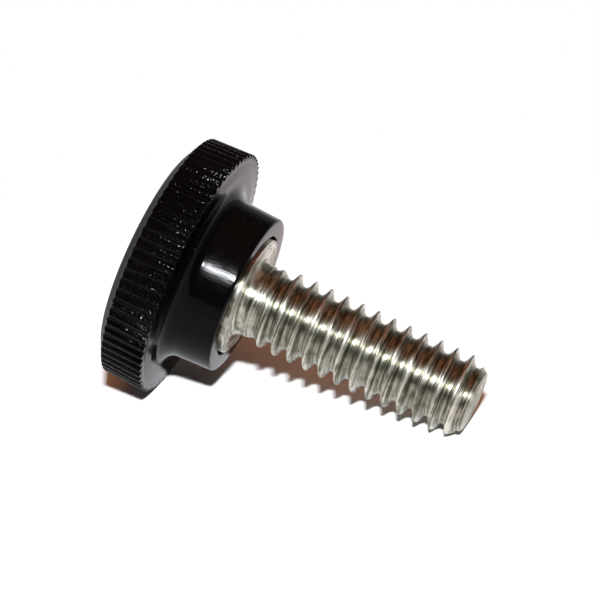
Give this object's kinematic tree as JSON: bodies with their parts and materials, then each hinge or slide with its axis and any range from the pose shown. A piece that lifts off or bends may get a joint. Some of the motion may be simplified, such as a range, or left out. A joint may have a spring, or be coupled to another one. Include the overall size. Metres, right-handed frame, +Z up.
{
  "type": "thumb screw",
  "caption": "Knurled thumb screw: a round black moulded knob with a short boss, pressed over the head of a right-hand threaded steel screw with a chamfered tip.",
  "frame": {"origin": "on the screw's axis at the bearing face, the flat underside of the screw's head that bears on the work", "axes": "+Z up with the part lying at rest on the edge of its rim and its last thread crest; +X is level and points the way of the tip, so the screw's axis runs along +X and 17.09 degrees below it"},
  "size_m": [0.0282, 0.019, 0.019],
  "materials": {
    "knob_plastic": "glossy moulded black",
    "screw_steel": "bright rolled stainless steel, fine turning marks on the flat faces"
  },
  "bodies": {
    "root": {"knob": "knob_plastic", "screw": "screw_steel"}
  },
  "joints": []
}
